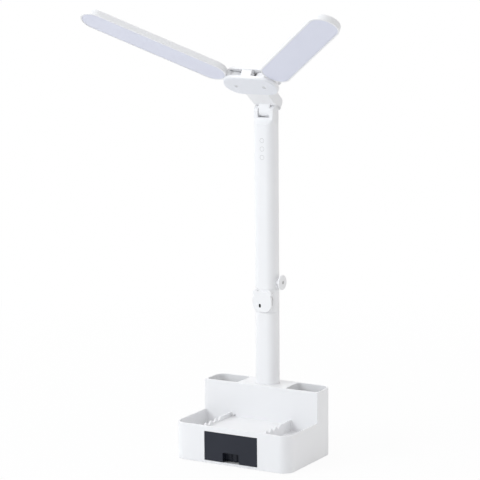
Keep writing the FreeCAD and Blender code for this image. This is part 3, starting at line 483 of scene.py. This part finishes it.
# The corners of a foot's two grooves, as shares of its radius
GROOVE_SHARES = ((0.3, 0.34, 0.4, 0.44), (0.62, 0.66, 0.72, 0.76))
GROOVE_DEPTH = 0.3 * MM
FOOT_EDGE = 0.6 * MM
FOOT_EDGE_CORNER = 0.18 * MM

# Printed touch rings
RING_SPACING = 11.5 * MM
RING_OUTER = 3.3 * MM
RING_INNER = 2.8 * MM
INK = 0.03 * MM

# The face of the hub's lower plate, which stands a little proud of the neck
FACE_INSET = 1.2 * MM
FACE_WALL = 0.1 * MM
FACE_ROUND = 0.5 * MM
FACE_ROUND_STEPS = 4
FACE_BORDER = 0.1 * MM
FACE_HOLE_GAP = 0.25 * MM
FACE_END_STEPS = 32


def seated_copies_group():
    """Geometry nodes: a copy of the pattern object on every point, turned as the point says."""
    tree = bpy.data.node_groups.new("seated_copies", "GeometryNodeTree")
    tree.interface.new_socket(name="Points", in_out="INPUT", socket_type="NodeSocketGeometry")
    tree.interface.new_socket(name="Pattern", in_out="INPUT", socket_type="NodeSocketObject")
    tree.interface.new_socket(name="Finish", in_out="INPUT", socket_type="NodeSocketMaterial")
    tree.interface.new_socket(name="Copies", in_out="OUTPUT", socket_type="NodeSocketGeometry")
    start = tree.nodes.new("NodeGroupInput")
    end = tree.nodes.new("NodeGroupOutput")
    pattern = tree.nodes.new("GeometryNodeObjectInfo")
    pattern.transform_space = "ORIGINAL"
    turn = tree.nodes.new("GeometryNodeInputNamedAttribute")
    turn.data_type = "FLOAT_VECTOR"
    turn.inputs["Name"].default_value = "turn"
    rotation = tree.nodes.new("FunctionNodeEulerToRotation")
    copies = tree.nodes.new("GeometryNodeInstanceOnPoints")
    real = tree.nodes.new("GeometryNodeRealizeInstances")
    finish = tree.nodes.new("GeometryNodeSetMaterial")
    tree.links.new(start.outputs["Pattern"], pattern.inputs["Object"])
    tree.links.new(turn.outputs["Attribute"], rotation.inputs["Euler"])
    tree.links.new(start.outputs["Points"], copies.inputs["Points"])
    tree.links.new(pattern.outputs["Geometry"], copies.inputs["Instance"])
    tree.links.new(rotation.outputs["Rotation"], copies.inputs["Rotation"])
    tree.links.new(copies.outputs["Instances"], real.inputs["Geometry"])
    tree.links.new(real.outputs["Geometry"], finish.inputs["Geometry"])
    tree.links.new(start.outputs["Finish"], finish.inputs["Material"])
    tree.links.new(finish.outputs["Geometry"], end.inputs["Copies"])
    return tree


seated_copies = seated_copies_group()


def repeated(name, pattern, places, turn, finish, body, slot, *replaced):
    """One piece of copies of a pattern mesh, which stands on Z, at the places and turn given."""
    points = bpy.data.meshes.new(name + "_points")
    points.from_pydata(places, [], [])
    turns = points.attributes.new("turn", "FLOAT_VECTOR", "POINT")
    for entry in turns.data:
        entry.vector = turn
    work = placed(name + "_work", points)
    shape = placed(name + "_pattern", pattern)
    modifier = work.modifiers.new("copies", "NODES")
    modifier.node_group = seated_copies
    values = {"Pattern": shape, "Finish": finish}
    for socket in seated_copies.interface.items_tree:
        if socket.in_out == "INPUT" and socket.name in values:
            modifier[socket.identifier] = values[socket.name]
    work.update_tag()
    bpy.context.view_layer.update()
    mesh = applied(work)
    bpy.data.objects.remove(shape)
    finished_piece(name, mesh, body, slot, *replaced)


def ring_of(shape, radius, z):
    step = 2 * math.pi / ROUND_STEPS
    return [shape.verts.new((radius * math.cos(i * step), radius * math.sin(i * step), z))
            for i in range(ROUND_STEPS)]


def loop_faces(shape, lower, upper):
    for i, corner in enumerate(lower):
        after = (i + 1) % len(lower)
        shape.faces.new((corner, lower[after], upper[after], upper[i]))


def fill_between(shape, loops):
    """Flat faces inside the first closed ring of corners and outside the others."""
    rims = []
    for loop in loops:
        rims += [shape.edges.get((corner, loop[i - 1])) for i, corner in enumerate(loop)]
    bmesh.ops.triangle_fill(shape, use_beauty=True, edges=rims, normal=(0, 0, 1))


def turned(shape, profile):
    """Rings of a turned form, joined in order; gives the first and the last ring."""
    rings = [ring_of(shape, radius, z) for radius, z in profile]
    for lower, upper in zip(rings, rings[1:]):
        loop_faces(shape, lower, upper)
    return rings[0], rings[-1]


def pattern_mesh(name, shape):
    bmesh.ops.recalc_face_normals(shape, faces=shape.faces)
    mesh = bpy.data.meshes.new(name)
    shape.to_mesh(mesh)
    shape.free()
    mesh.shade_smooth()
    mesh.set_sharp_from_angle(angle=SMOOTH_ANGLE)
    return mesh


def cross_screw(name, head_radius, head_height, length):
    """Screw facing up, its top at the origin: rounded rim, cross recess and pointed shaft."""
    shaft_radius = head_radius * SHAFT_SHARE
    rim = head_height * RIM_SHARE
    recess_depth = head_height * RECESS_SHARE
    rim_corner = rim * RIM_CORNER_SHARE
    tip_radius = shaft_radius * TIP_SHARE
    shape = bmesh.new()
    tip, rim_ring = turned(shape, [
        (tip_radius, -length),
        (shaft_radius, -length + tip_radius),
        (shaft_radius, -head_height),
        (head_radius, -head_height),
        (head_radius, -rim),
        (head_radius - rim_corner, -rim_corner),
        (head_radius - rim, 0),
    ])
    shape.faces.new(tip)
    crosses = []
    for (arm, half), z in zip(CROSS_SHARES, (0, -recess_depth)):
        corners = []
        for quarter in range(4):
            turn = Matrix.Rotation(quarter * math.pi / 2, 3, "Z")
            for x, y in ((arm, -half), (arm, half), (half, half)):
                corner = turn @ Vector((x * head_radius, y * head_radius, z))
                corners.append(shape.verts.new(corner))
        crosses.append(corners)
    loop_faces(shape, *crosses)
    shape.faces.new(crosses[1])
    fill_between(shape, (rim_ring, crosses[0]))
    return pattern_mesh(name, shape)


def solids_of(node, unturn=Matrix.Identity(4)):
    """Low and high corner of each separate solid of a CAD node, after a turn that levels it."""
    shape = bmesh.new()
    shape.from_mesh(nodes[node].data)
    bmesh.ops.remove_doubles(shape, verts=shape.verts, dist=WELD)
    bmesh.ops.transform(shape, matrix=unturn, verts=shape.verts)
    left = set(shape.verts)
    boxes = []
    while left:
        reached = [left.pop()]
        low = Vector(reached[0].co)
        high = Vector(reached[0].co)
        while reached:
            corner = reached.pop()
            for i in range(3):
                low[i] = min(low[i], corner.co[i])
                high[i] = max(high[i], corner.co[i])
            for edge in corner.link_edges:
                other = edge.other_vert(corner)
                if other in left:
                    left.remove(other)
                    reached.append(other)
        boxes.append((low, high))
    shape.free()
    return sorted(boxes, key=lambda pair: tuple(pair[0]))


def add_screws():
    """Cross-head screws in the places and with the lengths and heads of the CAD ones."""
    for node, (axis, outward, turn, head_height, tilt) in SCREW_KINDS.items():
        boxes = solids_of(node, Matrix.Rotation(tilt, 4, "X"))
        tilted = Matrix.Rotation(-tilt, 3, "X")
        turn = (turn[0] - tilt, turn[1], turn[2])
        places = []
        for low, high in boxes:
            place = (low + high) / 2
            place[axis] = high[axis] if outward > 0 else low[axis]
            places.append(tilted @ place)
        low, high = boxes[0]
        across = (axis + 1) % 3
        pattern = cross_screw(node + "_pattern", (high[across] - low[across]) / 2,
                              head_height, high[axis] - low[axis])
        repeated(node + "_finished", pattern, places, turn, slot_finish[node_slot[node]],
                 node_body[node], node_slot[node], node)


def add_feet():
    """Soft feet with a broken edge and two grooves in the tread."""
    boxes = solids_of("rubber_feet")
    low, high = boxes[0]
    radius = (high.x - low.x) / 2
    height = high.z - low.z
    profile = []
    for edges in GROOVE_SHARES:
        for share, depth in zip(edges, (0, GROOVE_DEPTH, GROOVE_DEPTH, 0)):
            profile.append((radius * share, depth))
    profile += [
        (radius - FOOT_EDGE, 0),
        (radius - FOOT_EDGE_CORNER, FOOT_EDGE_CORNER),
        (radius, FOOT_EDGE),
        (radius, height),
    ]
    shape = bmesh.new()
    centre_ring, top_ring = turned(shape, profile)
    shape.faces.new(centre_ring)
    shape.faces.new(top_ring)
    places = [((a.x + b.x) / 2, (a.y + b.y) / 2, 0) for a, b in boxes]
    repeated("rubber_feet_finished", pattern_mesh("foot_pattern", shape), places, UPWARD,
             foot_rubber, "base", "foot_rubber", "rubber_feet")


def add_touch_rings():
    """Three faint printed rings on the pole's front, over the sensor pads behind it."""
    low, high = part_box("touch_board")
    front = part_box("upper_pole")[0][1]
    middle = (low[2] + high[2]) / 2
    profile = [(RING_INNER, -INK), (RING_OUTER, -INK), (RING_OUTER, INK), (RING_INNER, INK)]
    shape = bmesh.new()
    first, last = turned(shape, profile)
    loop_faces(shape, last, first)
    places = [(0, front, middle + step * RING_SPACING) for step in (-1, 0, 1)]
    repeated("touch_rings", pattern_mesh("ring_pattern", shape), places, TO_FRONT,
             touch_ink, "base", "white_plastic")


def oval_ring(shape, straight, radius, middle_y, z):
    """Corners of an oval with two round ends on the X line at middle_y."""
    corners = []
    for end in (0, 1):
        for i in range(FACE_END_STEPS + 1):
            angle = math.pi * (end + i / FACE_END_STEPS - 0.5)
            x = (1 - 2 * end) * straight + radius * math.cos(angle)
            corners.append(shape.verts.new((x, middle_y + radius * math.sin(angle), z)))
    return corners


def add_hub_face():
    """The raised face of the hub's lower plate, with holes for the pivot screws, in a darker, bluer
    painted shade of the white plastic.
    """
    level = Matrix.Rotation(HEAD_TILT, 4, "X")
    screws = solids_of("pivot_screws", level)
    shell_low, shell_high = solids_of("hub_lower_shell", level)[0]
    face_z = screws[0][0].z
    middle_y = (screws[0][0].y + screws[0][1].y) / 2
    radius = middle_y - shell_low.y
    straight = shell_high.x - radius
    full = FACE_WALL + FACE_ROUND
    profile = [(FACE_INSET, 0)]
    for i in range(FACE_ROUND_STEPS + 1):
        angle = math.pi / 2 * i / FACE_ROUND_STEPS
        inward = FACE_INSET + FACE_ROUND * (1 - math.cos(angle))
        profile.append((inward, FACE_WALL + FACE_ROUND * math.sin(angle)))
    profile.append((FACE_INSET + FACE_ROUND + FACE_BORDER, full))
    shape = bmesh.new()
    rings = [oval_ring(shape, straight, radius - inward, middle_y, face_z - down)
             for inward, down in profile]
    for lower, upper in zip(rings, rings[1:]):
        loop_faces(shape, lower, upper)
    ends = ([rings[0]], [rings[-1]])
    for low, high in screws:
        hole_radius = (high.x - low.x) / 2 + FACE_HOLE_GAP
        holes = []
        for down in (0, full):
            ring = ring_of(shape, hole_radius, face_z - down)
            for corner in ring:
                corner.co.x += (low.x + high.x) / 2
                corner.co.y += middle_y
            holes.append(ring)
        loop_faces(shape, *holes)
        ends[0].append(holes[0])
        ends[1].append(holes[1])
    for loops in ends:
        fill_between(shape, loops)
    bmesh.ops.transform(shape, matrix=Matrix.Rotation(-HEAD_TILT, 4, "X"), verts=shape.verts)
    mesh = pattern_mesh("hub_face", shape)
    # The face gets the painted darker, bluer shade of the white plastic
    mesh.materials.append(hub_face_painted_shade)
    finished_piece("hub_face", mesh, "head", "white_plastic")


# Stage, light and camera

FLOOR_HALF_SIZE = 30.0
FLOOR_TONE = (0.86, 0.86, 0.86, 1)

# Distances from the object between which the floor goes from nearly plain to plain white
PLAIN_FLOOR_BAND = (0.3, 1.2)
NEAR_FLOOR_PLAINNESS = 0.93
WORLD_LEVEL = 0.5

# Each softbox: place, target, width, height, watts and colour
LAMPS = {
    "key_front_left": ((-1.6, -2.0, 1.5), (0, 0, 0.3), 1.6, 1.6, 36.5, (0.94, 0.975, 1.0)),
    "fill_right": ((2.4, 0.7, 0.6), (0, 0, 0.3), 1.4, 1.4, 9.5, (1, 1, 1)),
    "overhead": ((-0.3, 0.1, 2.3), (0, 0, 0.2), 1.8, 1.8, 19, (1, 1, 1)),
    "low_front": ((0.4, -2.4, 0.35), (0, 0, 0.45), 1.8, 0.6, 4, (0.8, 0.9, 1.0)),
    "back": ((-1.2, 2.4, 1.0), (0, 0, 0.2), 1.8, 1.4, 6, (1, 1, 1)),
}


def stage_material():
    """Pale floor and backdrop: plain white to the camera, with part of the object's shadow kept."""
    material = bpy.data.materials.new("pale_floor")
    material.use_nodes = True
    tree = material.node_tree
    tree.nodes.remove(tree.nodes["Principled BSDF"])
    output = tree.nodes["Material Output"]
    diffuse = tree.nodes.new("ShaderNodeBsdfDiffuse")
    diffuse.inputs["Color"].default_value = FLOOR_TONE
    glow = tree.nodes.new("ShaderNodeEmission")
    glow.inputs["Strength"].default_value = 1.0
    path = tree.nodes.new("ShaderNodeLightPath")
    seen = tree.nodes.new("ShaderNodeMath")
    seen.operation = "MAXIMUM"
    tree.links.new(path.outputs["Is Camera Ray"], seen.inputs[0])
    tree.links.new(path.outputs["Is Glossy Ray"], seen.inputs[1])
    place = tree.nodes.new("ShaderNodeTexCoord").outputs["Object"]
    distance = tree.nodes.new("ShaderNodeVectorMath")
    distance.operation = "LENGTH"
    tree.links.new(place, distance.inputs[0])
    plainness = remap(tree, distance.outputs["Value"], PLAIN_FLOOR_BAND, NEAR_FLOOR_PLAINNESS, 1.0)
    share = tree.nodes.new("ShaderNodeMath")
    share.operation = "MULTIPLY"
    tree.links.new(plainness, share.inputs[1])
    tree.links.new(seen.outputs[0], share.inputs[0])
    blend = tree.nodes.new("ShaderNodeMixShader")
    tree.links.new(share.outputs[0], blend.inputs["Fac"])
    tree.links.new(diffuse.outputs[0], blend.inputs[1])
    tree.links.new(glow.outputs[0], blend.inputs[2])
    tree.links.new(blend.outputs[0], output.inputs["Surface"])
    return material


def floor():
    size = FLOOR_HALF_SIZE
    mesh = bpy.data.meshes.new("floor")
    corners = [(-size, -size, 0), (size, -size, 0), (size, size, 0), (-size, size, 0)]
    mesh.from_pydata(corners, [], [(0, 1, 2, 3)])
    mesh.materials.append(stage_material())
    plane = placed("floor", mesh)


def world_light():
    world = bpy.data.worlds.new("studio")
    bpy.context.scene.world = world
    world.use_nodes = True
    tree = world.node_tree
    background = tree.nodes["Background"]
    background.inputs["Color"].default_value = (1, 1, 1, 1)
    path = tree.nodes.new("ShaderNodeLightPath")
    level = tree.nodes.new("ShaderNodeMapRange")
    level.inputs["To Min"].default_value = WORLD_LEVEL
    level.inputs["To Max"].default_value = 1.0
    tree.links.new(path.outputs["Is Camera Ray"], level.inputs["Value"])
    tree.links.new(level.outputs["Result"], background.inputs["Strength"])


def softbox(name, place, target, width, height, watts, colour):
    data = bpy.data.lights.new(name, "AREA")
    data.shape = "RECTANGLE"
    data.size = width
    data.size_y = height
    data.energy = watts
    data.color = colour
    lamp = placed(name, data)
    lamp.location = place
    lamp.rotation_mode = "QUATERNION"
    lamp.rotation_quaternion = (Vector(target) - Vector(place)).to_track_quat("-Z", "Y")


def studio_lights():
    for name, settings in LAMPS.items():
        softbox(name, *settings)


def photo_camera():
    yaw = math.radians(CAMERA_YAW)
    pitch = math.radians(CAMERA_PITCH)
    roll = math.radians(CAMERA_ROLL)
    ahead = Vector((
        -math.sin(yaw) * math.cos(pitch),
        math.cos(yaw) * math.cos(pitch),
        -math.sin(pitch),
    ))
    level_right = ahead.cross(Vector((0, 0, 1))).normalized()
    level_up = level_right.cross(ahead)
    right = level_right * math.cos(roll) + level_up * math.sin(roll)
    up = level_up * math.cos(roll) - level_right * math.sin(roll)
    data = bpy.data.cameras.new("photo_camera")
    data.sensor_width = SENSOR_WIDTH
    data.lens = CAMERA_LENS
    data.shift_x = -CENTRE_OFFSET_PIXELS / FRAME_PIXELS
    data.shift_y = CENTRE_OFFSET_PIXELS / FRAME_PIXELS
    data.clip_end = FARTHEST_SEEN
    camera = placed("photo_camera", data)
    turn = Matrix((right, up, -ahead)).transposed().to_4x4()
    camera.matrix_world = Matrix.Translation(Vector(CAMERA_PLACE)) @ turn
    bpy.context.scene.camera = camera


paint_cad_nodes()
soften_visible_nodes()
add_screws()
add_feet()
add_touch_rings()
add_hub_face()
floor()
world_light()
studio_lights()
photo_camera()
bpy.context.scene.view_settings.view_transform = "Standard"
